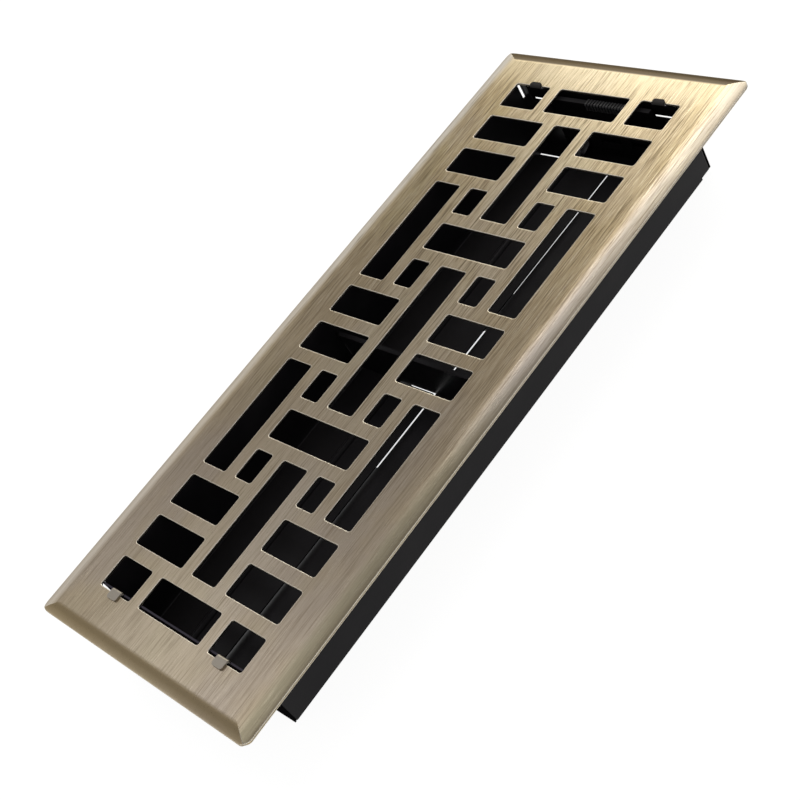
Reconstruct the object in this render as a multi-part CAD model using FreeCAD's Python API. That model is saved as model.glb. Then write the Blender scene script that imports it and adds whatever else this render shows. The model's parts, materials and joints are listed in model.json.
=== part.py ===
import FreeCAD, Part
import math
import os

# Floor register: pressed grille face plate on a shallow damper box with two coupled blades.
# Millimetres. X across the width, Y along the length, Z up out of the duct.
# The origin is on the plane of the box's bottom edges, under the centre of the face plate.

# Face plate
plate_length = 342.9
plate_width = 138.1
plate_sheet = 1.0
plate_corner = 4.0
rim_drop = 3.0
side_rim = 9.5
end_rim = 6.5

# Basket weave openings in the face
row_count = 14
row_opening = 15.4
row_bar = 6.6
column_bar = 6.65
centre_opening = 15.4
small_opening = 10.6
outer_opening = 15.4
end_centre_opening = 40.4
end_corner_opening = 20.95
end_bar = 6.05
opening_corner = 1.3

# Damper box
wall_height = 38.5
wall_sheet = 0.8
box_width = 95.25
corner_bend = 1.0
flange_width = 14.0
flange_foot = 1.5
flange_head = 11.0
flange_stub = 3.0
head_relief = 8.0
head_relief_start = 3.0
head_relief_width = 1.9
foot_relief_length = 6.5
foot_relief = 1.0
end_wall_edge = 0.1
near_wall_set = 1.1
far_wall_set = 1.8
far_foot_flange = 8.2
foot_flange_end_gap = 0.2

# Tabs that come up through the corner openings and fold over the face
tab_width = 6.2
tab_spacing = 71.0
tab_reach_far = 1.4
tab_reach_near = 2.9
tab_bend = 0.3
tab_lift = 0.05
tab_tip = 1.2
far_tab_gap = 0.2
slit_width = 15.0
slit_low = 28.2
slit_high = 29.9

# Centre brace
brace_sheet = 0.8
brace_top = 28.9
brace_flange = 2.2
brace_flange_inset = 2.6
brace_end_gap = 0.2
tongue_height = 8.0
tongue_centre = 16.0
tongue_proud = 0.3
tongue_gap = 0.1
hanger_half = 7.0
hanger_below = 2.4

# Damper blades and their pivot rods
blade_sheet = 0.7
blade_swing = 80.0
rod_radius = 1.1
rod_height = 3.4
rod_spacing = 44.0
rod_head_radius = 1.9
rod_head = 0.5
rod_proud = 0.5
washer_radius = 2.4
washer_sheet = 0.6
running_gap = 0.06
seat_gap = 0.05
blade_side_gap = 0.5
blade_far_gap = 12.0
blade_near_gap = 1.5
blade_brace_gap = 0.3
edge_strip = 3.3
edge_strip_drop = 0.6
meeting_far = 1.6
meeting_near = -0.6
lip_root = 6.6
lip_radius = 18.0
lip_lap = 2.2
lip_far_gap = 0.7
lip_window_gap_far = 0.75
lip_window_gap_near = 0.3
lip_window_far = 38.0
lip_window_near = -42.0
lip_taper_end = 60.0
notch_side = 0.25
notch_depth = 4.0
hanger_side_gap = 1.0

# Cranks on the far ends of the rods
crank_length = 10.1
crank_sheet = 1.2
crank_hub = 2.3
crank_tip = 2.2
pin_radius = 0.9
pin_play = 0.4
pin_proud = 0.3

# Operating slide and its thumb grip
slide_sheet = 1.0
slide_wall_gap = 3.1
slide_crank_gap = 0.5
slide_edge = 2.5
slide_stem = 15.0
ledge_left = 36.0
ledge_right = 24.5
ledge_top = 36.0
ledge_depth = 2.4
ledge_drop = 4.0
guide_spacing = 18.0
guide_radius = 1.5
guide_gap = 0.15
guide_shoulder_radius = 2.6
guide_head_radius = 3.0
guide_head = 0.8
guide_head_gap = 0.1
grip_width = 22.0
grip_cap = 0.35
grip_front = 0.6
grip_hook = 0.9
grip_hook_depth = 0.7
grip_fall = 3.2
grip_pitch = 1.7
rib_width = 0.9
rib_height = 0.5
rib_inset = 0.4

# How far a cut runs past the sheet that it goes through
overcut = 1.0

# Heights
face_top = wall_height + plate_sheet

# Half widths of the columns of openings
column_1 = centre_opening / 2
column_2 = column_1 + column_bar
column_3 = column_2 + small_opening
column_4 = column_3 + column_bar
column_5 = column_4 + outer_opening
end_column_1 = end_centre_opening / 2
end_column_2 = end_column_1 + end_bar
end_column_3 = end_column_2 + end_corner_opening

# Rows are counted from the far end
row_pitch = row_opening + row_bar
field_half = (row_count * row_pitch - row_bar) / 2

# Planes of the box, which sits a little off centre under the plate
side_outer = box_width / 2
side_inner = side_outer - wall_sheet
near_outer = -(field_half - near_wall_set)
near_inner = near_outer + wall_sheet
far_inner = field_half + far_wall_set
far_outer = far_inner + wall_sheet
far_tab_outer = field_half - far_tab_gap
far_tab_inner = far_tab_outer - wall_sheet

# Stack at the far end wall, from the wall inwards
slide_back = far_inner - slide_wall_gap
slide_front = slide_back - slide_sheet
crank_back = slide_front - slide_crank_gap
crank_front = crank_back - crank_sheet

# Blade edges
rod_x = rod_spacing / 2
blade_outer = side_inner - blade_side_gap
blade_far = far_inner - blade_far_gap
blade_near = near_inner + blade_near_gap
blade_low = rod_height - blade_sheet / 2
blade_high = rod_height + blade_sheet / 2
bead_inner = rod_radius + seat_gap
bead_outer = bead_inner + blade_sheet
hanger_reach = hanger_half + hanger_side_gap

# Travel of the slide, from the swing of the cranks
half_swing = math.radians(blade_swing / 2)
pin_offset = crank_length * math.sin(half_swing)
slide_travel = 2 * pin_offset
pin_low = rod_height + crank_length * math.cos(half_swing)
pin_high = rod_height + crank_length
pin_room = pin_radius + pin_play
lower_bar_bottom = pin_low - pin_room - slide_edge
lower_bar_top = pin_high + pin_room + slide_edge
guide_height = (lower_bar_bottom + lower_bar_top) / 2
slide_half = rod_x + pin_room + slide_edge
ledge_front = slide_back - ledge_depth


def block(x0, x1, y0, y1, z0, z1):
    corner = FreeCAD.Vector(min(x0, x1), min(y0, y1), min(z0, z1))
    return Part.makeBox(abs(x1 - x0), abs(y1 - y0), abs(z1 - z0), corner)


def round_y(x, z, y0, y1, radius):
    """A cylinder along Y."""
    base = FreeCAD.Vector(x, min(y0, y1), z)
    return Part.makeCylinder(radius, abs(y1 - y0), base, FreeCAD.Vector(0, 1, 0))


def rounded_outline(x0, x1, y0, y1, z, radius):
    """A closed rectangle with round corners in a level plane."""
    lines = []
    corners = [
        (x1 - radius, y1 - radius, 0),
        (x0 + radius, y1 - radius, 90),
        (x0 + radius, y0 + radius, 180),
        (x1 - radius, y0 + radius, 270),
    ]
    arcs = []
    for cx, cy, start in corners:
        circle = Part.Circle(FreeCAD.Vector(cx, cy, z), FreeCAD.Vector(0, 0, 1), radius)
        arcs.append(circle.toShape(math.radians(start), math.radians(start + 90)))
    for index, arc in enumerate(arcs):
        following = arcs[(index + 1) % 4]
        begin = arc.valueAt(arc.LastParameter)
        end = following.valueAt(following.FirstParameter)
        lines.append(arc)
        lines.append(Part.makeLine(begin, end))
    return Part.Wire(lines)


def rounded_prism(x0, x1, y0, y1, z0, z1, radius):
    outline = rounded_outline(x0, x1, y0, y1, z0, radius)
    return Part.Face(outline).extrude(FreeCAD.Vector(0, 0, z1 - z0))


def slot_y(x0, z, x1, radius, y0, y1):
    """A level round-ended slot through Y."""
    ends = round_y(x0, z, y0, y1, radius).fuse(round_y(x1, z, y0, y1, radius))
    return ends.fuse(block(x0, x1, y0, y1, z - radius, z + radius)).removeSplitter()


def crowned_bar(half, rim, drop, reach, along_x):
    """A long bar, flat on top and rolled down in one arc towards each side."""
    radius = (rim ** 2 + drop ** 2) / (2 * drop)
    crest = half - rim
    sweep = math.asin((rim + drop) / radius)
    floor = -4 * drop - plate_sheet

    def place(across, height):
        if along_x:
            return FreeCAD.Vector(-reach, across, face_top + height)
        return FreeCAD.Vector(across, -reach, face_top + height)

    def on_arc(sign, angle):
        across = crest + radius * math.sin(angle)
        return place(sign * across, radius * (math.cos(angle) - 1))

    right = [on_arc(1, 0), on_arc(1, sweep / 2), on_arc(1, sweep), place(half + drop, floor)]
    left = [on_arc(-1, 0), on_arc(-1, sweep / 2), on_arc(-1, sweep), place(-half - drop, floor)]
    edges = [
        Part.makeLine(left[0], right[0]),
        Part.Arc(right[0], right[1], right[2]).toShape(),
        Part.makeLine(right[2], right[3]),
        Part.makeLine(right[3], left[3]),
        Part.makeLine(left[3], left[2]),
        Part.Arc(left[2], left[1], left[0]).toShape(),
    ]
    face = Part.Face(Part.Wire(edges))
    direction = FreeCAD.Vector(2 * reach, 0, 0) if along_x else FreeCAD.Vector(0, 2 * reach, 0)
    return face.extrude(direction)


def opening_list():
    """Every opening of the weave, as (x0, x1, first row, last row)."""
    openings = []
    last = row_count - 1
    for row in (0, last):
        openings.append((-end_column_1, end_column_1, row, row))
        for sign in (-1, 1):
            openings.append((sign * end_column_2, sign * end_column_3, row, row))
    for row in (1, 2, 6, 7, 11, 12):
        for sign in (-1, 1):
            openings.append((sign * column_2, sign * column_5, row, row))
    for first, final in ((1, 3), (5, 8), (10, 12)):
        openings.append((-column_1, column_1, first, final))
    for row in (3, 5, 8, 10):
        for sign in (-1, 1):
            openings.append((sign * column_2, sign * column_3, row, row))
    for first, final in ((3, 5), (8, 10)):
        for sign in (-1, 1):
            openings.append((sign * column_4, sign * column_5, first, final))
    for row in (4, 9):
        openings.append((-column_3, column_3, row, row))
    return openings


def opening_cutter(x0, x1, first, final):
    """A punch for one opening."""
    high_y = field_half - first * row_pitch
    low_y = field_half - final * row_pitch - row_opening
    return rounded_prism(
        min(x0, x1), max(x0, x1), low_y, high_y,
        wall_height - plate_sheet, face_top + plate_sheet, opening_corner
    )


def make_face_plate():
    drop = rim_drop - plate_sheet
    reach = plate_length
    across = crowned_bar(plate_width / 2, side_rim, drop, reach, False)
    along = crowned_bar(plate_length / 2, end_rim, drop, reach, True)
    crown = across.common(along)
    trim = rounded_prism(
        -plate_width / 2, plate_width / 2, -plate_length / 2, plate_length / 2,
        face_top - 2 * rim_drop, face_top + plate_sheet, plate_corner
    )
    under = crown.copy()
    under.translate(FreeCAD.Vector(0, 0, -plate_sheet))
    sheet = crown.common(trim).cut(under)
    for opening in opening_list():
        sheet = sheet.cut(opening_cutter(*opening))
    return sheet.removeSplitter()


def make_side_wall(sign):
    """One long wall with a flange folded in at each end; sign is -1 on the left."""
    outer = rounded_prism(
        -side_outer, side_outer, near_inner, far_inner, 0, wall_height, corner_bend
    )
    inner = rounded_prism(
        -side_inner, side_inner, near_inner + wall_sheet, far_inner - wall_sheet,
        0, wall_height, corner_bend - wall_sheet
    )
    outside = side_outer + overcut
    keep = block(
        sign * (side_outer - flange_width), sign * outside,
        near_inner - overcut, far_inner + overcut, 0, wall_height
    )
    wall = outer.cut(inner).common(keep)
    near_bend = near_inner + corner_bend
    far_bend = far_inner - corner_bend
    relief_y = far_inner - head_relief_start
    relief_z = wall_height - head_relief
    far_foot = far_inner - foot_relief_length
    flange_top = wall_height - flange_head
    inside = side_inner
    stub = side_inner - flange_stub
    wall = wall.cut(block(-outside, outside, relief_y, relief_y + head_relief_width,
                          relief_z, wall_height))
    relieved = outside if sign > 0 else inside
    wall = wall.cut(block(-relieved, relieved, far_foot, far_inner + overcut, 0, foot_relief))
    wall = wall.cut(block(-stub, stub, far_bend, far_inner + overcut, flange_top, wall_height))
    wall = wall.cut(block(-inside, inside, near_inner - overcut, near_bend, flange_top, wall_height))
    wall = wall.cut(block(-inside, inside, near_inner - overcut, near_bend, 0, flange_foot))
    return wall.cut(tongue_block(sign, tongue_gap))


def tongue_block(sign, gap):
    """The brace's tongue through a side wall, or its hole when a gap is given."""
    start = side_inner - wall_sheet
    end = side_outer + tongue_proud
    half = brace_sheet / 2 + gap
    low = tongue_centre - tongue_height / 2 - gap
    high = tongue_centre + tongue_height / 2 + gap
    return block(sign * start, sign * end, -half, half, low, high)


def end_wall_sheet(inner, outer):
    """An end wall before its tabs, with a slit under each tab and a hole for each rod."""
    half = side_outer - end_wall_edge
    wall = block(-half, half, inner, outer, 0, wall_height)
    for sign in (-1, 1):
        centre = sign * tab_spacing / 2
        wall = wall.cut(block(centre - slit_width / 2, centre + slit_width / 2,
                              inner - overcut, outer + overcut, slit_low, slit_high))
        wall = wall.cut(round_y(sign * rod_x, rod_height, inner - overcut, outer + overcut,
                                rod_radius + running_gap))
    return wall


def make_end_wall_near():
    wall = end_wall_sheet(near_inner, near_outer)
    for sign in (-1, 1):
        wall = wall.fuse(make_tab(sign, near_inner, near_outer, -1, tab_reach_near))
    return wall.removeSplitter()


def make_end_wall_far():
    """The far wall, pressed inwards above its slits so that the tabs clear the openings."""
    wall = end_wall_sheet(far_inner, far_outer)
    flange_half = side_inner - foot_flange_end_gap
    wall = wall.fuse(block(-flange_half, flange_half, far_inner - far_foot_flange, far_inner,
                           0, wall_sheet))
    for sign in (-1, 1):
        centre = sign * tab_spacing / 2
        wall = wall.cut(block(sign * flange_half, sign * side_outer,
                              far_inner - overcut, far_outer + overcut, 0, foot_relief))
        wall = wall.cut(block(centre - slit_width / 2, centre + slit_width / 2,
                              far_inner - overcut, far_outer + overcut, slit_low, wall_height))
        wall = wall.fuse(pressed_strip(centre))
        wall = wall.fuse(make_tab(sign, far_tab_inner, far_tab_outer, 1, tab_reach_far))
    return wall.removeSplitter()


def pressed_strip(centre):
    """The strip above a slit, bowed inwards until its head is in line with its tab."""
    def bulge(plane):
        height = wall_height - slit_high
        depth = far_inner - far_tab_inner
        shape = Part.makeWedge(
            -slit_width / 2, 0, 0, height, -tab_width / 2,
            slit_width / 2, depth, height, height, tab_width / 2
        )
        shape.rotate(FreeCAD.Vector(0, 0, 0), FreeCAD.Vector(0, 0, 1), 180)
        shape.translate(FreeCAD.Vector(centre, plane, slit_high))
        return shape

    flat = block(centre - slit_width / 2, centre + slit_width / 2, far_inner, far_outer,
                 slit_high, wall_height)
    return flat.fuse(bulge(far_inner)).cut(bulge(far_outer))


def make_tab(sign, inner, outer, outward, reach):
    """A tab that rises through the face and folds outwards over it, with a round tip."""
    under = face_top + tab_lift
    top = under + wall_sheet
    tip = outward * (field_half + reach)
    outside = tab_bend + wall_sheet
    turn_y = outer + outward * tab_bend
    turn_z = under - tab_bend
    diagonal = math.sqrt(0.5)

    def at(y, z):
        return FreeCAD.Vector(sign * tab_spacing / 2 - tab_width / 2, y, z)

    low_outer = at(outer, wall_height)
    low_inner = at(inner, wall_height)
    inside_start = at(outer, turn_z)
    inside_middle = at(turn_y - outward * tab_bend * diagonal, turn_z + tab_bend * diagonal)
    inside_end = at(turn_y, under)
    outside_start = at(inner, turn_z)
    outside_middle = at(turn_y - outward * outside * diagonal, turn_z + outside * diagonal)
    outside_end = at(turn_y, top)
    edges = [
        Part.makeLine(low_inner, low_outer),
        Part.makeLine(low_outer, inside_start),
        Part.Arc(inside_start, inside_middle, inside_end).toShape(),
        Part.makeLine(inside_end, at(tip, under)),
        Part.makeLine(at(tip, under), at(tip, top)),
        Part.makeLine(at(tip, top), outside_end),
        Part.Arc(outside_end, outside_middle, outside_start).toShape(),
        Part.makeLine(outside_start, low_inner),
    ]
    strip = Part.Face(Part.Wire(edges)).extrude(FreeCAD.Vector(tab_width, 0, 0))
    tip_edges = []
    for edge_shape in strip.Edges:
        box = edge_shape.BoundBox
        upright = box.XLength < 1e-6 and box.YLength < 1e-6
        if upright and abs(box.YMin - tip) < 1e-6:
            tip_edges.append(edge_shape)
    return strip.makeFillet(tab_tip, tip_edges)


def make_centre_brace():
    half = side_inner - brace_end_gap
    sheet = brace_sheet / 2
    foot = blade_high + blade_brace_gap
    brace = block(-half, half, -sheet, sheet, foot, brace_top)
    flange_half = side_inner - brace_flange_inset
    ledge = block(
        -flange_half, flange_half, sheet - brace_flange, sheet,
        brace_top - brace_sheet, brace_top
    )
    brace = brace.fuse(ledge)
    for sign in (-1, 1):
        x = sign * rod_x
        brace = brace.fuse(block(x - hanger_half, x + hanger_half, -sheet, sheet,
                                 rod_height - hanger_below, foot))
        brace = brace.fuse(tongue_block(sign, 0))
        brace = brace.cut(round_y(x, rod_height, -sheet - overcut, sheet + overcut,
                                  rod_radius + running_gap))
    return brace.removeSplitter()


def meeting_x(y):
    """Where the left blade's inner edge lies, which runs slightly askew."""
    share = (y - blade_near) / (blade_far - blade_near)
    return meeting_near + share * (meeting_far - meeting_near)


def strip_y(outline, y0, y1):
    """A bent sheet given by its outline across the blade, as (x, z)."""
    corners = [FreeCAD.Vector(x, y0, z) for x, z in outline]
    profile = Part.Face(Part.makePolygon(corners + corners[:1]))
    return profile.extrude(FreeCAD.Vector(0, y1 - y0, 0))


def blade_outline(sign, inner):
    """The flat of a blade and its stepped outer edge strip."""
    bend = blade_outer - edge_strip
    low = blade_low - edge_strip_drop
    points = [
        (inner, blade_high), (bend, blade_high), (bend + edge_strip_drop, low + blade_sheet),
        (blade_outer, low + blade_sheet), (blade_outer, low), (bend + edge_strip_drop, low),
        (bend, blade_low), (inner, blade_low),
    ]
    return [(sign * x, z) for x, z in points]


def trim_block(points):
    """A prism over a plan outline, deep enough to cut through a blade's edge."""
    corners = [FreeCAD.Vector(x, y, blade_low - notch_depth) for x, y in points]
    plan = Part.Face(Part.makePolygon(corners + corners[:1]))
    return plan.extrude(FreeCAD.Vector(0, 0, 2 * notch_depth))


def add_bead(blade, x):
    """The raised groove that holds the pivot rod."""
    ridge = round_y(x, rod_height, blade_near, blade_far, bead_outer)
    below = block(x - bead_outer, x + bead_outer, blade_near, blade_far,
                  blade_low - bead_outer, blade_low)
    groove = round_y(x, rod_height, blade_near - overcut, blade_far + overcut, bead_inner)
    mouth = block(x - bead_inner, x + bead_inner, blade_near - overcut, blade_far + overcut,
                  blade_low - overcut, rod_height)
    return blade.fuse(ridge.cut(below)).cut(groove).cut(mouth)


def brace_notch(x0, x1):
    """Room for the brace in the half of a blade that swings up past it."""
    half = brace_sheet / 2 + notch_side
    return block(x0, x1, -half, half, blade_low - notch_depth, blade_high + notch_depth)


def make_blade_left():
    beyond = meeting_far + overcut
    blade = strip_y(blade_outline(-1, -beyond), blade_near, blade_far)
    blade = add_bead(blade, -rod_x)
    blade = blade.cut(trim_block([
        (meeting_near, blade_near), (meeting_far, blade_far),
        (beyond + overcut, blade_far), (beyond + overcut, blade_near),
    ]))
    return blade.cut(brace_notch(-rod_x - hanger_reach, beyond)).removeSplitter()


def make_blade_right():
    blade = strip_y(blade_outline(1, lip_root), blade_near, blade_far)
    blade = blade.fuse(make_lip())
    blade = add_bead(blade, rod_x)
    return blade.cut(brace_notch(rod_x - hanger_reach, blade_outer + overcut)).removeSplitter()


def make_lip():
    """The rolled lip of the right blade, which dips under the left one where they meet."""
    tip = meeting_near - lip_lap - overcut
    sweep = math.asin((lip_root - tip) / lip_radius)

    def on_arc(radius, angle):
        x = lip_root - radius * math.sin(angle)
        return FreeCAD.Vector(x, blade_near, blade_high - lip_radius + radius * math.cos(angle))

    top = [on_arc(lip_radius, sweep * share) for share in (0, 0.5, 1)]
    low = [on_arc(lip_radius - blade_sheet, sweep * share) for share in (0, 0.5, 1)]
    profile = Part.Face(Part.Wire([
        Part.Arc(*top).toShape(), Part.makeLine(top[2], low[2]),
        Part.Arc(*low[::-1]).toShape(), Part.makeLine(low[0], top[0]),
    ]))
    lip = profile.extrude(FreeCAD.Vector(0, blade_far - blade_near, 0))
    outside = tip - overcut
    return lip.cut(trim_block([
        (outside, blade_near),
        (meeting_near - lip_lap, blade_near),
        (meeting_x(lip_window_near) - lip_lap, lip_window_near),
        (meeting_x(lip_window_near) + lip_window_gap_near, lip_window_near),
        (meeting_x(lip_window_far) + lip_window_gap_far, lip_window_far),
        (meeting_x(lip_window_far) - lip_lap, lip_window_far),
        (meeting_x(lip_taper_end) - lip_lap, lip_taper_end),
        (meeting_x(lip_taper_end), lip_taper_end),
        (meeting_far + lip_far_gap, blade_far),
        (outside, blade_far),
    ]))


def make_pivot_rod(sign):
    x = sign * rod_x
    near = near_outer - running_gap
    far = far_outer + running_gap + washer_sheet + rod_proud
    rod = round_y(x, rod_height, near, far, rod_radius)
    head = round_y(x, rod_height, near - rod_head, near, rod_head_radius)
    return rod.fuse(head).removeSplitter()


def make_rod_washer(sign):
    """The washer pressed on a rod's far end, outside the wall."""
    x = sign * rod_x
    start = far_outer + running_gap
    end = start + washer_sheet
    washer = round_y(x, rod_height, start, end, washer_radius)
    return washer.cut(round_y(x, rod_height, start - overcut, end + overcut, rod_radius + seat_gap))


def pin_place(sign):
    return sign * rod_x + pin_offset, pin_low


def make_crank(sign):
    """A pear-shaped arm: two round ends joined by their outer tangents."""
    x0, z0 = sign * rod_x, rod_height
    x1, z1 = pin_place(sign)
    hub = round_y(x0, z0, crank_front, crank_back, crank_hub)
    tip = round_y(x1, z1, crank_front, crank_back, crank_tip)
    lean = math.atan2(z1 - z0, x1 - x0)
    spread = math.acos((crank_hub - crank_tip) / crank_length)
    corners = []
    for side in (1, -1):
        angle = lean + side * spread
        pair = [(x0 + crank_hub * math.cos(angle), z0 + crank_hub * math.sin(angle)),
                (x1 + crank_tip * math.cos(angle), z1 + crank_tip * math.sin(angle))]
        corners += pair if side > 0 else pair[::-1]
    points = [FreeCAD.Vector(x, crank_front, z) for x, z in corners]
    web = Part.Face(Part.makePolygon(points + points[:1]))
    arm = hub.fuse([tip, web.extrude(FreeCAD.Vector(0, crank_sheet, 0))]).removeSplitter()
    arm = arm.cut(round_y(x0, z0, crank_front - overcut, crank_back + overcut, rod_radius + seat_gap))
    return arm.cut(round_y(x1, z1, crank_front - overcut, crank_back + overcut, pin_radius + seat_gap))


def make_crank_pin(sign):
    x, z = pin_place(sign)
    return round_y(x, z, crank_front, slide_back + pin_proud, pin_radius)


def make_operating_slide():
    """The slide behind the cranks, drawn at the closed end of its travel."""
    centre = pin_offset
    y0, y1 = slide_front, slide_back
    lower = block(centre - slide_half, centre + slide_half, y0, y1,
                  lower_bar_bottom, lower_bar_top)
    stem = block(centre - slide_stem / 2, centre + slide_stem / 2, y0, y1,
                 lower_bar_top, ledge_top - ledge_drop)
    left, right = centre - ledge_left, centre + ledge_right
    upper = block(left, right, y0, y1, ledge_top - ledge_drop, ledge_top)
    ledge = block(left, right, ledge_front, y1, ledge_top - slide_sheet, ledge_top)
    slide = lower.fuse([stem, upper, ledge]).removeSplitter()
    for sign in (-1, 1):
        pin_x = sign * rod_x + pin_offset
        slide = slide.cut(block(pin_x - pin_room, pin_x + pin_room, y0 - overcut, y1 + overcut,
                                lower_bar_bottom - overcut, pin_high + pin_room))
        guide_x = sign * guide_spacing / 2
        slide = slide.cut(slot_y(guide_x, guide_height, guide_x + slide_travel,
                                 guide_radius + guide_gap, y0 - overcut, y1 + overcut))
    return slide


def make_thumb_grip():
    """A ribbed cap clipped over the front edge of the slide's ledge."""
    left = pin_offset - grip_width / 2
    inside_top = ledge_top + seat_gap
    inside_low = ledge_top - slide_sheet - seat_gap
    inside_front = ledge_front - seat_gap
    cap_top = inside_top + grip_cap
    cap_front = inside_front - grip_front
    bottom = ledge_top - grip_fall

    def bar(x, width, outline):
        corners = [FreeCAD.Vector(x, y, z) for y, z in outline]
        profile = Part.Face(Part.makePolygon(corners + corners[:1]))
        return profile.extrude(FreeCAD.Vector(width, 0, 0))

    grip = bar(left, grip_width, [
        (slide_back, inside_top), (slide_back, cap_top), (cap_front, cap_top),
        (cap_front, bottom), (inside_front, bottom), (inside_front, inside_low - grip_hook_depth),
        (inside_front + grip_hook, inside_low - grip_hook_depth),
        (inside_front + grip_hook, inside_low), (inside_front, inside_low),
        (inside_front, inside_top),
    ])
    count = int((grip_width + grip_pitch - rib_width) / grip_pitch)
    start = pin_offset - (count * grip_pitch - (grip_pitch - rib_width)) / 2
    for index in range(count):
        grip = grip.fuse(bar(start + index * grip_pitch, rib_width, [
            (slide_back, cap_top), (slide_back, cap_top + rib_height),
            (cap_front, cap_top + rib_height), (cap_front - rib_height, cap_top),
            (cap_front - rib_height, bottom + rib_inset), (cap_front, bottom + rib_inset),
            (cap_front, cap_top),
        ]))
    return grip.removeSplitter()


def make_guide_rivet(sign):
    """A shouldered rivet on the far wall; the slide runs between its shoulder and its head."""
    x = sign * guide_spacing / 2
    shoulder_end = slide_back + guide_head_gap
    head_back = slide_front - guide_head_gap
    shoulder = round_y(x, guide_height, shoulder_end, far_inner, guide_shoulder_radius)
    shank = round_y(x, guide_height, head_back, shoulder_end, guide_radius)
    head = round_y(x, guide_height, head_back - guide_head, head_back, guide_head_radius)
    return shank.fuse([shoulder, head]).removeSplitter()


def make_all():
    nodes = {
        "face_plate": make_face_plate(),
        "end_wall_far": make_end_wall_far(),
        "end_wall_near": make_end_wall_near(),
        "centre_brace": make_centre_brace(),
        "blade_left": make_blade_left(),
        "blade_right": make_blade_right(),
        "operating_slide": make_operating_slide(),
        "thumb_grip": make_thumb_grip(),
    }
    for sign, side in ((-1, "left"), (1, "right")):
        nodes["side_wall_" + side] = make_side_wall(sign)
        nodes["pivot_rod_" + side] = make_pivot_rod(sign)
        nodes["crank_" + side] = make_crank(sign)
        nodes["crank_pin_" + side] = make_crank_pin(sign)
        nodes["rod_washer_" + side] = make_rod_washer(sign)
        nodes["guide_rivet_" + side] = make_guide_rivet(sign)
    return nodes


def main():
    os.makedirs("parts", exist_ok=True)
    for name, shape in make_all().items():
        print(name, len(shape.Solids), shape.isValid(), round(shape.Volume, 1))
        shape.exportStep("parts/" + name + ".step")


main()
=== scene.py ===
import json
import math

import bpy
from mathutils import Euler, Matrix, Vector

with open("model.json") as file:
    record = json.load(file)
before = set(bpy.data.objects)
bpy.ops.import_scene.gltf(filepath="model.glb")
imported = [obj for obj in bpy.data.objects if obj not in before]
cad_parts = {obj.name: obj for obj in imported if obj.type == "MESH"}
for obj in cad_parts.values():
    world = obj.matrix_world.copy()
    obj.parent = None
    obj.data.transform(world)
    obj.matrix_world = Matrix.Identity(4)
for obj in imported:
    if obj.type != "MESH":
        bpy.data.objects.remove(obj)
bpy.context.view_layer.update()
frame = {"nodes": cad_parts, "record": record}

print("frame loaded:", len(frame["nodes"]), "pieces")


def reachOf(name, axis):
    # how far a piece reaches along X, Y or Z from the origin of the part
    return max(corner["XYZ".index(axis)] for corner in frame["nodes"][name].bound_box)


def feed(tree, socket, value):
    # links a socket, or sets a number or a colour on the socket itself
    if isinstance(value, bpy.types.NodeSocket):
        tree.links.new(value, socket)
    elif isinstance(value, tuple):
        socket.default_value = (*value, 1.0)
    else:
        socket.default_value = value


def mathNode(tree, operation, *values, clamp=False):
    node = tree.nodes.new("ShaderNodeMath")
    node.operation = operation
    node.use_clamp = clamp
    for socket, value in zip(node.inputs, values):
        feed(tree, socket, value)
    return node.outputs[0]


def shareOf(tree, mask, share):
    return mathNode(tree, "MULTIPLY", mask, share)


def between(tree, mask, atZero, atOne):
    # runs from one number to another as the mask runs from 0 to 1
    return mathNode(tree, "MULTIPLY_ADD", mask, atOne - atZero, atZero)


def rampNode(tree, value, low, high):
    # 0 up to low and 1 from high on, with a soft rise between; it falls where low is the larger
    node = tree.nodes.new("ShaderNodeMapRange")
    node.interpolation_type = "SMOOTHSTEP"
    feed(tree, node.inputs["Value"], value)
    feed(tree, node.inputs["From Min"], low)
    feed(tree, node.inputs["From Max"], high)
    return node.outputs["Result"]


def mixColours(tree, factor, first, second):
    # the sockets numbered here are the node's colours, which share their names with its numbers
    node = tree.nodes.new("ShaderNodeMix")
    node.data_type = "RGBA"
    feed(tree, node.inputs["Factor"], factor)
    feed(tree, node.inputs[6], first)
    feed(tree, node.inputs[7], second)
    return node.outputs[2]


def layColours(tree, body, layers):
    # lays colours over a body colour one after the other, each where its mask is
    for mask, colour in layers:
        body = mixColours(tree, mask, body, colour)
    return body


def noiseNode(tree, vector, scale, detail=1.0, rough=0.5):
    node = tree.nodes.new("ShaderNodeTexNoise")
    feed(tree, node.inputs["Vector"], vector)
    feed(tree, node.inputs["Scale"], scale)
    feed(tree, node.inputs["Detail"], detail)
    feed(tree, node.inputs["Roughness"], rough)
    return node.outputs["Fac"]


def bumpNode(tree, shader, height, distance, strength=1.0, normal=None):
    node = tree.nodes.new("ShaderNodeBump")
    feed(tree, node.inputs["Height"], height)
    feed(tree, node.inputs["Distance"], distance)
    feed(tree, node.inputs["Strength"], strength)
    if normal:
        feed(tree, node.inputs["Normal"], normal)
    feed(tree, shader.inputs["Normal"], node.outputs["Normal"])


def axesOf(tree, kind):
    # X, Y and Z of a texture coordinate
    coords = tree.nodes.new("ShaderNodeTexCoord")
    split = tree.nodes.new("ShaderNodeSeparateXYZ")
    feed(tree, split.inputs[0], coords.outputs[kind])
    return split.outputs


def stretchedPlace(tree, stretch):
    # object coordinates squeezed along Y, so that what is drawn on them runs along the plate
    coords = tree.nodes.new("ShaderNodeTexCoord")
    squeeze = tree.nodes.new("ShaderNodeCombineXYZ")
    for socket, value in zip(squeeze.inputs, (1.0, stretch, 1.0)):
        feed(tree, socket, value)
    product = tree.nodes.new("ShaderNodeVectorMath")
    product.operation = "MULTIPLY"
    feed(tree, product.inputs[0], coords.outputs["Object"])
    feed(tree, product.inputs[1], squeeze.outputs[0])
    return product.outputs[0]


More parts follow.
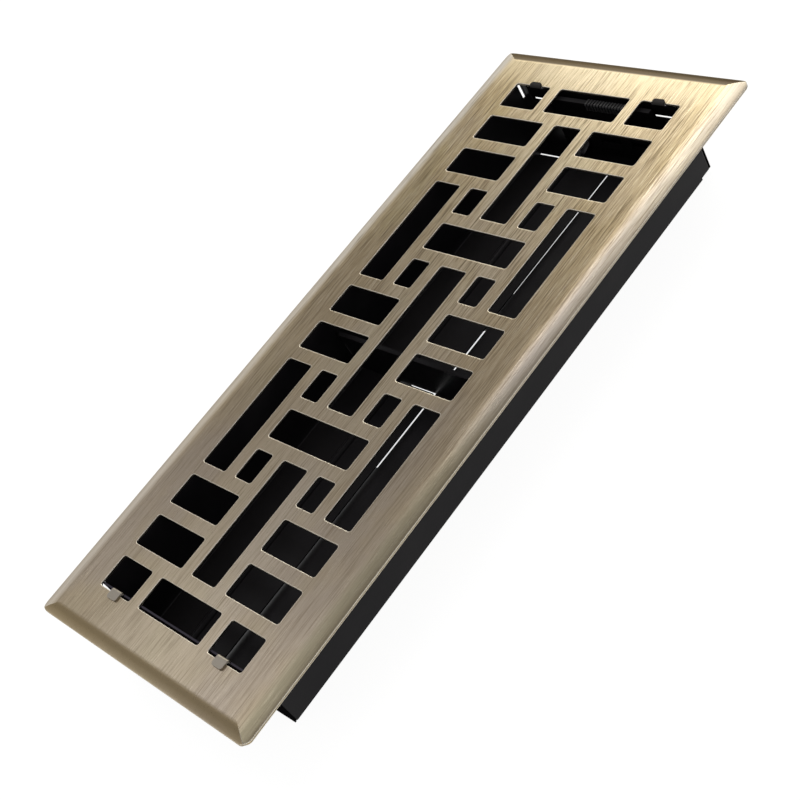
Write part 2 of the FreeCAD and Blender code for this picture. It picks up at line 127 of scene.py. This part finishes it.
def newGroup(name, inputs, masks, normals=()):
    group = bpy.data.node_groups.new(name, "ShaderNodeTree")
    for label, value in inputs.items():
        socket = group.interface.new_socket(label, in_out="INPUT", socket_type="NodeSocketFloat")
        socket.default_value = value
    for label in masks:
        group.interface.new_socket(label, in_out="OUTPUT", socket_type="NodeSocketFloat")
    for label in normals:
        group.interface.new_socket(label, in_out="OUTPUT", socket_type="NodeSocketVector")
    source = group.nodes.new("NodeGroupInput")
    result = group.nodes.new("NodeGroupOutput")
    return group, source.outputs, result.inputs


def makeBrushGroup():
    # long fine streaks of a belt-brushed sheet, and wider bands of them
    group, source, result = newGroup("brushedStreaks", {"Grain": 2600.0, "Stretch": 0.024},
                                     ("Streak", "Band"))
    bandGrain = 0.5     # bands to each streak
    place = stretchedPlace(group, source["Stretch"])
    wide = shareOf(group, source["Grain"], bandGrain)
    feed(group, result["Streak"], noiseNode(group, place, source["Grain"], detail=3.0, rough=0.75))
    feed(group, result["Band"], noiseNode(group, place, wide, detail=2.0, rough=0.6))
    return group


def makePatinaGroup():
    # soft cloudy patches, which a small stretch draws out along the plate
    group, source, result = newGroup(
        "patinaClouds", {"Size": 30.0, "Stretch": 0.4, "Low": 0.45, "High": 0.7}, ("Mask",)
    )
    place = stretchedPlace(group, source["Stretch"])
    cloud = noiseNode(group, place, source["Size"], detail=4.0, rough=0.55)
    feed(group, result["Mask"], rampNode(group, cloud, source["Low"], source["High"]))
    return group


# where each zone of the plate begins and where it is full: the rims by how much the surface leans,
# far and crest by the share of the plate's half length and middle by the share of its half width
plateZones = {
    "left": (-0.06, -0.28),
    "right": (0.06, 0.28),
    "steep": (0.24, 0.46),
    "nearEnd": (-0.04, -0.17),
    "farEnd": (0.04, 0.17),
    "endEdge": (0.30, 0.66),
    "far": (-0.758, 0.700),
    "crest": (0.828, 0.945),
    "middle": (0.608, 0.232),
    "endEdgeShare": 0.1,    # what is left of the near end's mask, and so of its painted shade, at its lowest edge
}


def makePlaceGroup(zones):
    # masks of the rims by where they lean, and of the face by how far along and across it is
    group, _, result = newGroup("placeMasks", {}, (
        "Left", "Right", "Steep", "NearEnd", "FarEnd", "Far", "Crest", "Middle"
    ))
    leanX, leanY, _ = axesOf(group, "Normal")
    placeX, placeY, _ = axesOf(group, "Object")
    halfLength = reachOf("face_plate", "Y")
    halfWidth = reachOf("face_plate", "X")

    def zoneMask(zone, value, size=1.0):
        begin, full = zones[zone]
        return rampNode(group, value, begin * size, full * size)

    endEdge = zoneMask("endEdge", mathNode(group, "ABSOLUTE", leanY))
    aboveEdge = between(group, endEdge, 1.0, zones["endEdgeShare"])
    masks = {
        "Left": zoneMask("left", leanX),
        "Right": zoneMask("right", leanX),
        "Steep": zoneMask("steep", mathNode(group, "ABSOLUTE", leanX)),
        "NearEnd": shareOf(group, zoneMask("nearEnd", leanY), aboveEdge),
        "FarEnd": zoneMask("farEnd", leanY),
        "Far": zoneMask("far", placeY, halfLength),
        "Crest": zoneMask("crest", placeY, halfLength),
        "Middle": zoneMask("middle", mathNode(group, "ABSOLUTE", placeX), halfWidth),
    }
    for label, mask in masks.items():
        feed(group, result[label], mask)
    return group


def makeEdgeGroup():
    # burnished wear with a painted highlight outlining the pressed openings, where a bevel would turn
    # the surface
    group, source, result = newGroup("edgeWearAndGleam", {"Reach": 0.0006}, ("WornAndGleam",), ("Rounded",))
    unturned, turned = 0.998, 0.93   # cosines at which the wear and painted highlight begin and are full
    bevel = group.nodes.new("ShaderNodeBevel")
    bevel.samples = 4
    feed(group, bevel.inputs["Radius"], source["Reach"])
    surface = group.nodes.new("ShaderNodeNewGeometry")
    turn = group.nodes.new("ShaderNodeVectorMath")
    turn.operation = "DOT_PRODUCT"
    feed(group, turn.inputs[0], bevel.outputs[0])
    feed(group, turn.inputs[1], surface.outputs["Normal"])
    feed(group, result["WornAndGleam"], rampNode(group, turn.outputs["Value"], unturned, turned))
    feed(group, result["Rounded"], bevel.outputs[0])
    return group


def placeGroup(tree, group, **values):
    node = tree.nodes.new("ShaderNodeGroup")
    node.node_tree = group
    for label, value in values.items():
        node.inputs[label].default_value = value
    return node.outputs


def newMaterial(name, rough, metallic=0.0, specular=0.5):
    material = bpy.data.materials.new(name)
    material.use_nodes = True
    tree = material.node_tree
    shader = tree.nodes["Principled BSDF"]
    feed(tree, shader.inputs["Roughness"], rough)
    feed(tree, shader.inputs["Metallic"], metallic)
    feed(tree, shader.inputs["Specular IOR Level"], specular)
    return material, tree, shader


brassLook = {
    "light": (0.49, 0.385, 0.215),
    "middle": (0.42, 0.325, 0.185),
    "darkGrainAndShade": (0.17, 0.125, 0.068),
    "olive": (0.39, 0.325, 0.155),
    "taupe": (0.42, 0.350, 0.275),
    "grazing": (0.50, 0.44, 0.36),      # tint of what shows at a flat angle
    "paleWearAndHighlight": (0.76, 0.67, 0.50),
    "edgeWearGleamTone": (0.95, 0.88, 0.74),
    # the rim colours are painted light: a painted reflection on the left rim, a painted highlight
    # turning to painted shade along the right rim, and painted shade on the near and far end rims
    "rimLeftReflection": (0.76, 0.73, 0.68),
    "rimRightFarHighlight": (0.45, 0.405, 0.360),
    "rimRightNearShade": (0.30, 0.265, 0.165),
    "rimNearShade": (0.36, 0.275, 0.150),
    "rimFarShade": (0.082, 0.072, 0.062),
    # cloudy patches: their number to a metre, how drawn out they are, and where they begin and are full
    "lightPatches": {"Size": 26.0, "Stretch": 0.45, "Low": 0.44, "High": 0.66},
    "olivePatches": {"Size": 42.0, "Stretch": 0.30, "Low": 0.46, "High": 0.68},
    "taupePatches": {"Size": 19.0, "Stretch": 0.60, "Low": 0.46, "High": 0.62},
    "oliveShare": 0.5,
    "taupeShare": 0.35,
    "taupeNear": 0.50,          # how much more taupe the near end is
    "middleWear": 0.20,         # how much paler the middle of the plate is than its margins
    "crestHighlight": 0.30,          # and how much paler the strip beyond the openings of the far end is, a painted highlight
    "rimLeftReflectionShares": (0.45, 0.85),      # how strong the painted reflection on the left rim is, at the near end and the far end
    "rimRightLightShare": 0.80,
    "rimRightLightChange": (0.20, 0.65),     # how far along the right rim its painted highlight turns to painted shade
    # how strong the painted shade on the near end's rim is
    "rimNearShadeShare": 0.90,
    "steepShadeShare": 0.60,         # how dark the painted shade on the steep lower part of the side rims is
    "grain": 2600.0,            # streaks to a metre, across the brushing
    "grainStretch": 0.024,
    "grainShares": (0.32, 1.0),         # how strong the streaks show, at the near end and the far end
    "grainDepth": 0.00003,
    "rimCalm": 0.45,            # how much weaker the streaks are on the side rims and the crest
    # values of the noise at which the dark bands begin and are full, and so for the streaks
    "bandDark": (0.52, 0.68),
    "streakDark": (0.50, 0.66),
    "streakLight": (0.48, 0.34),
    "bandShare": 0.75,
    "lightShare": 0.6,
    "rough": 0.31,
    "roughSwing": 0.11,         # how much the streaks change the roughness either way
    "coat": 0.45,               # clear lacquer over the plating, which has gone from both ends' rims
    "coatRough": 0.22,
    "edge": 0.0006,             # how far the burnished and rounded edge of the openings, with its painted highlight, goes in
}


def platingAndPaintedLightLayers(tree, look, groups, place):
    # patches of the plating, a paler middle, a painted highlight beyond the far openings, and the
    # painted reflection, highlight and shade of the rims, from the lowest layer up
    light = placeGroup(tree, groups["patina"], **look["lightPatches"])["Mask"]
    olive = placeGroup(tree, groups["patina"], **look["olivePatches"])["Mask"]
    taupe = placeGroup(tree, groups["patina"], **look["taupePatches"])["Mask"]
    taupeMask = mathNode(tree, "ADD", shareOf(tree, taupe, look["taupeShare"]),
                         between(tree, place["Far"], look["taupeNear"], 0.0))
    rimLightChange = rampNode(tree, place["Far"], *look["rimRightLightChange"])
    rimRightLight = mixColours(tree, rimLightChange, look["rimRightNearShade"], look["rimRightFarHighlight"])
    leftReflectionShare = between(tree, place["Far"], *look["rimLeftReflectionShares"])
    return [
        (light, look["light"]),
        (shareOf(tree, olive, look["oliveShare"]), look["olive"]),
        (taupeMask, look["taupe"]),
        (shareOf(tree, place["Middle"], look["middleWear"]), look["paleWearAndHighlight"]),
        # a painted highlight on the strip beyond the far openings
        (shareOf(tree, place["Crest"], look["crestHighlight"]), look["paleWearAndHighlight"]),
        # painted light on the rims: highlight to shade on the right, reflection on the left, shade on
        # the steep parts and on both ends
        (shareOf(tree, place["Right"], look["rimRightLightShare"]), rimRightLight),
        (shareOf(tree, place["Left"], leftReflectionShare), look["rimLeftReflection"]),
        (shareOf(tree, place["Steep"], look["steepShadeShare"]), look["darkGrainAndShade"]),
        (shareOf(tree, place["NearEnd"], look["rimNearShadeShare"]), look["rimNearShade"]),
        (place["FarEnd"], look["rimFarShade"]),
    ]


def brushingLayers(tree, look, brush, place, ends):
    # dark bands and streaks and light streaks, clear at the far end and weak on the rims
    sides = mathNode(tree, "ADD", place["Left"], place["Right"])
    calm = shareOf(tree, mathNode(tree, "ADD", sides, place["Crest"]), look["rimCalm"])
    quiet = mathNode(tree, "ADD", ends, calm, clamp=True)
    strength = mathNode(tree, "MULTIPLY", between(tree, place["Far"], *look["grainShares"]),
                        between(tree, quiet, 1.0, 0.0))
    bandDark = shareOf(tree, rampNode(tree, brush["Band"], *look["bandDark"]), look["bandShare"])
    streakDark = rampNode(tree, brush["Streak"], *look["streakDark"])
    streakLight = shareOf(tree, rampNode(tree, brush["Streak"], *look["streakLight"]),
                          look["lightShare"])
    return [
        (shareOf(tree, bandDark, strength), look["darkGrainAndShade"]),
        (shareOf(tree, streakDark, strength), look["darkGrainAndShade"]),
        (shareOf(tree, streakLight, strength), look["paleWearAndHighlight"]),
    ]


def makeAntiqueBrass(look, groups):
    material, tree, shader = newMaterial("antiqueBrass", look["rough"], metallic=1.0)
    brush = placeGroup(tree, groups["brush"], Grain=look["grain"], Stretch=look["grainStretch"])
    place = placeGroup(tree, groups["place"])
    edge = placeGroup(tree, groups["edge"], Reach=look["edge"])
    ends = mathNode(tree, "ADD", place["NearEnd"], place["FarEnd"])
    body = layColours(tree, look["middle"], [
        *platingAndPaintedLightLayers(tree, look, groups, place),
        *brushingLayers(tree, look, brush, place, ends),
        # pale outline of the openings: partly burnished wear, partly a painted edge highlight
        (edge["WornAndGleam"], look["edgeWearGleamTone"]),
    ])
    roughness = between(tree, brush["Streak"], look["rough"] - look["roughSwing"],
                        look["rough"] + look["roughSwing"])
    feed(tree, shader.inputs["Base Color"], body)
    feed(tree, shader.inputs["Roughness"], roughness)
    feed(tree, shader.inputs["Coat Weight"], between(tree, ends, look["coat"], 0.0))
    feed(tree, shader.inputs["Coat Roughness"], look["coatRough"])
    feed(tree, shader.inputs["Specular Tint"], look["grazing"])
    bumpNode(tree, shader, brush["Streak"], look["grainDepth"], normal=edge["Rounded"])
    return material


blackPaintLook = {
    "colour": (0.0070, 0.0062, 0.0072),
    "rubbed": (0.024, 0.022, 0.023),
    "rubbedShare": 0.25,
    "patches": {"Size": 45.0, "Stretch": 0.8, "Low": 0.40, "High": 0.75},
    "rough": 0.34,
    "specular": 0.11,
    "orangePeel": 900.0,    # dimples of the paint to a metre
    "peelDepth": 0.00004,
    "peelStrength": 0.5,
}

# the blades' black is a lighter copy of the box's black, painted light for the light that reaches them
# inside the box
bladeLitLook = dict(blackPaintLook, colour=(0.0125, 0.0112, 0.0120))


def makeBlackPaint(name, look, groups):
    material, tree, shader = newMaterial(name, look["rough"], specular=look["specular"])
    clouds = placeGroup(tree, groups["patina"], **look["patches"])["Mask"]
    rubbed = shareOf(tree, clouds, look["rubbedShare"])
    feed(tree, shader.inputs["Base Color"], mixColours(tree, rubbed, look["colour"], look["rubbed"]))
    coords = tree.nodes.new("ShaderNodeTexCoord")
    peel = noiseNode(tree, coords.outputs["Object"], look["orangePeel"])
    bumpNode(tree, shader, peel, look["peelDepth"], look["peelStrength"])
    return material


# the end walls carry the tabs, and the slide and its rivets have the same dull paint
dullPaintLook = {
    "colour": (0.0060, 0.0055, 0.0060),
    "head": (0.045, 0.041, 0.052),      # painted highlight on the upward faces of the end walls' heads
    "ledge": (0.022, 0.021, 0.022),     # painted highlight on the upward top of the slide
    "nearTabReflection": (0.355, 0.318, 0.260),   # painted reflection, pale like the brass, on tabs made metallic
    # painted reflection, grey, on the far tabs
    "farTabReflection": (0.040, 0.037, 0.036),
    "rough": 0.42,
    "level": (0.5, 0.9),        # how level a face has to be to take the painted highlight
    "headBelow": 0.0012,        # metres below the top of the face at which the walls' heads begin
    "headRise": 0.0002,
    "tabBelow": 0.0008,         # and at which the tabs begin
    "tabRise": 0.0003,
    "ledgeBelow": 0.0005,       # metres below its own top at which the slide's ledge begins
}


def makeDullPaint(name, look, levelFrom, highlightColour, tabReflection=None, metallicTabs=False):
    # a painted highlight on level faces above a height, and a painted reflection on the tabs, which can
    # also be made metallic
    material, tree, shader = newMaterial(name, look["rough"], specular=0.0)
    height = axesOf(tree, "Object")[2]
    facing = axesOf(tree, "Normal")[2]
    above = rampNode(tree, height, levelFrom, levelFrom + look["headRise"])
    level = shareOf(tree, above, rampNode(tree, facing, *look["level"]))
    layers = [(level, highlightColour)]
    # painted reflection on the tabs
    if tabReflection:
        tabFrom = reachOf("face_plate", "Z") - look["tabBelow"]
        tabs = rampNode(tree, height, tabFrom, tabFrom + look["tabRise"])
        layers.append((tabs, tabReflection))
        if metallicTabs:
            feed(tree, shader.inputs["Metallic"], tabs)
    feed(tree, shader.inputs["Base Color"], layColours(tree, look["colour"], layers))
    return material


zincLook = {
    "colour": (0.50, 0.51, 0.52),
    "dull": (0.30, 0.30, 0.30),
    "patches": {"Size": 400.0, "Stretch": 1.0, "Low": 0.35, "High": 0.7},
    "rough": 0.38,
}


def makeZinc(look, groups):
    material, tree, shader = newMaterial("zincSteel", look["rough"], metallic=1.0)
    clouds = placeGroup(tree, groups["patina"], **look["patches"])["Mask"]
    feed(tree, shader.inputs["Base Color"], mixColours(tree, clouds, look["colour"], look["dull"]))
    return material


gripLook = {
    "colour": (0.0065, 0.0062, 0.0066),
    "handled": (0.0130, 0.0124, 0.0132),
    "patches": {"Size": 700.0, "Stretch": 1.0, "Low": 0.4, "High": 0.7},
    "rough": 0.55,
    "specular": 0.4,
}


def makeGrip(look, groups):
    material, tree, shader = newMaterial("gripBlack", look["rough"], specular=look["specular"])
    clouds = placeGroup(tree, groups["patina"], **look["patches"])["Mask"]
    feed(tree, shader.inputs["Base Color"], mixColours(tree, clouds, look["colour"], look["handled"]))
    return material


def makeMaterials(groups):
    # one for each material slot of the record
    return {
        "antique_brass": makeAntiqueBrass(brassLook, groups),
        "box_black": makeBlackPaint("boxBlack", blackPaintLook, groups),
        "blade_black": makeBlackPaint("bladeBlack", bladeLitLook, groups),
        "grip_black": makeGrip(gripLook, groups),
        "zinc_steel": makeZinc(zincLook, groups),
    }


def makePiecePaints(look):
    # the black pieces whose paint is not that of their slot
    headFrom = reachOf("face_plate", "Z") - look["headBelow"]
    ledgeFrom = reachOf("operating_slide", "Z") - look["ledgeBelow"]
    slideBlack = makeDullPaint("slideBlack", look, ledgeFrom, look["ledge"])
    return {
        "end_wall_near": makeDullPaint("nearWallBlack", look, headFrom, look["head"],
                                       look["nearTabReflection"], metallicTabs=True),
        "end_wall_far": makeDullPaint("farWallBlack", look, headFrom, look["head"], look["farTabReflection"]),
        "operating_slide": slideBlack,
        "guide_rivet_left": slideBlack,
        "guide_rivet_right": slideBlack,
    }


def dress(materials, piecePaints):
    slots = {entry["node"]: entry["material_slot"] for entry in frame["record"]["subparts"]}
    for name, piece in frame["nodes"].items():
        piece.data.materials.clear()
        piece.data.materials.append(piecePaints.get(name, materials[slots[name]]))


roomSetup = {
    "floorHalf": 6.0,
    "floorColour": (0.80, 0.80, 0.80),
    "floorGlow": 0.93,      # what the camera sees of the floor even in the object's shadow
    "floorShade": (0.14, 0.14, 0.14),   # how much of the lit floor is added to it
    "ambient": 0.60,        # strength of the room for diffuse light
    "white": (1.0, 1.0, 1.0),
    "overhead": (0.37, 0.37, 0.40),     # what metal reflects of the ceiling; the walls are white
    "wallTop": 0.31,        # sines of the heights at which the white walls begin and end to darken
    "ceilingEdge": 0.54,
}


def backgroundFactor(tree):
    # 1 where the camera, a mirror-like surface or glass looks at the background
    path = tree.nodes.new("ShaderNodeLightPath")
    seen = mathNode(tree, "MAXIMUM", path.outputs["Is Camera Ray"], path.outputs["Is Glossy Ray"])
    return mathNode(tree, "MAXIMUM", seen, path.outputs["Is Transmission Ray"])


def mixBackground(tree, forLight, forView, surface):
    # one shader for the light of the room, and another for what is seen of it
    choice = tree.nodes.new("ShaderNodeMixShader")
    for socket, value in zip(choice.inputs, (backgroundFactor(tree), forLight, forView)):
        feed(tree, socket, value)
    feed(tree, surface, choice.outputs[0])


def diffuseNode(tree, colour):
    node = tree.nodes.new("ShaderNodeBsdfDiffuse")
    feed(tree, node.inputs["Color"], colour)
    return node.outputs[0]


def backgroundNode(tree, colour, strength):
    node = tree.nodes.new("ShaderNodeBackground")
    feed(tree, node.inputs["Color"], colour)
    feed(tree, node.inputs["Strength"], strength)
    return node.outputs[0]


def makePaleFloor(setup):
    material = bpy.data.materials.new("paleFloor")
    material.use_nodes = True
    tree = material.node_tree
    tree.nodes.clear()
    output = tree.nodes.new("ShaderNodeOutputMaterial")
    glow = tree.nodes.new("ShaderNodeEmission")
    feed(tree, glow.inputs["Strength"], setup["floorGlow"])
    bright = tree.nodes.new("ShaderNodeAddShader")
    feed(tree, bright.inputs[0], diffuseNode(tree, setup["floorShade"]))
    feed(tree, bright.inputs[1], glow.outputs[0])
    mixBackground(tree, diffuseNode(tree, setup["floorColour"]), bright.outputs[0],
                  output.inputs["Surface"])
    return material


def makeFloor(setup):
    half = setup["floorHalf"]
    corners = [(-half, -half, 0), (half, -half, 0), (half, half, 0), (-half, half, 0)]
    mesh = bpy.data.meshes.new("floor")
    mesh.from_pydata(corners, [], [(0, 1, 2, 3)])
    mesh.materials.append(makePaleFloor(setup))
    floor = bpy.data.objects.new("floor", mesh)
    bpy.context.scene.collection.objects.link(floor)


def makeRoom(setup):
    world = bpy.data.worlds.new("room")
    bpy.context.scene.world = world
    world.use_nodes = True
    tree = world.node_tree
    tree.nodes.clear()
    output = tree.nodes.new("ShaderNodeOutputWorld")
    height = axesOf(tree, "Generated")[2]
    ceiling = rampNode(tree, height, setup["wallTop"], setup["ceilingEdge"])
    walls = mixColours(tree, ceiling, setup["white"], setup["overhead"])
    mixBackground(tree, backgroundNode(tree, setup["white"], setup["ambient"]),
                  backgroundNode(tree, walls, 1.0), output.inputs["Surface"])


# soft boxes: where each stands, what it points at, the way its long side runs, its size
# and how bright its face is
lampSetup = {
    "farBox": {
        "place": (-0.48, 1.175, 0.84), "aim": (0.0, 0.12, 0.04), "across": (0.82, -0.04, 0.57),
        "size": (1.6, 0.74), "glow": 2.75, "tint": (1.0, 0.985, 0.87),
    },
    "ridgeStrip": {
        "place": (-0.42, 0.66, 1.20), "aim": (0.05, 0.03, 0.04), "across": (0.0, 0.88, -0.47),
        "size": (0.60, 0.12), "glow": 4.5, "tint": (0.94, 0.93, 1.0),
    },
    "nearBox": {
        "place": (-0.50, -0.10, 1.22), "aim": (0.0, -0.12, 0.04), "across": (0.93, 0.0, 0.37),
        "size": (1.3, 0.26), "glow": 1.25, "tint": (0.97, 0.98, 1.0),
    },
    "fillBox": {
        "place": (1.1, -0.7, 0.9), "aim": (0.0, 0.0, 0.02), "across": (0.0, 1.0, 0.0),
        "size": (1.2, 1.2), "glow": 0.35, "tint": (1.0, 1.0, 1.0),
    },
}


def makeLamps(setups):
    for name, setup in setups.items():
        lamp = bpy.data.lights.new(name, "AREA")
        lamp.shape = "RECTANGLE"
        lamp.size, lamp.size_y = setup["size"]
        lamp.energy = setup["glow"] * math.pi * lamp.size * lamp.size_y
        lamp.color = setup["tint"]
        away = (Vector(setup["place"]) - Vector(setup["aim"])).normalized()
        upwards = away.cross(Vector(setup["across"])).normalized()
        turned = Matrix((upwards.cross(away), upwards, away)).transposed()
        holder = bpy.data.objects.new(name, lamp)
        holder.location = setup["place"]
        holder.rotation_euler = turned.to_euler()
        bpy.context.scene.collection.objects.link(holder)


# from the photograph's own perspective; the frame is 800 by 800
cameraSetup = {
    "place": (0.4135, -0.2020, 0.4151),
    "turn": (42.972, 25.587, 40.806),   # degrees about X, Y and Z
    "lens": 64.0,
    "sensor": 36.0,
    "clip": 0.01,
}


def makeCamera(setup):
    lens = bpy.data.cameras.new("camera")
    lens.lens = setup["lens"]
    lens.sensor_width = setup["sensor"]
    lens.sensor_fit = "HORIZONTAL"
    lens.clip_start = setup["clip"]
    holder = bpy.data.objects.new("camera", lens)
    holder.location = setup["place"]
    holder.rotation_euler = Euler([math.radians(turn) for turn in setup["turn"]], "XYZ")
    bpy.context.scene.collection.objects.link(holder)
    bpy.context.scene.camera = holder


bpy.context.scene.view_settings.view_transform = "Standard"
makeCamera(cameraSetup)
print("camera set")

groups = {
    "brush": makeBrushGroup(),
    "patina": makePatinaGroup(),
    "place": makePlaceGroup(plateZones),
    "edge": makeEdgeGroup(),
}
dress(makeMaterials(groups), makePiecePaints(dullPaintLook))
print("pieces finished")

makeFloor(roomSetup)
makeRoom(roomSetup)
makeLamps(lampSetup)
print("floor, room and lamps set")
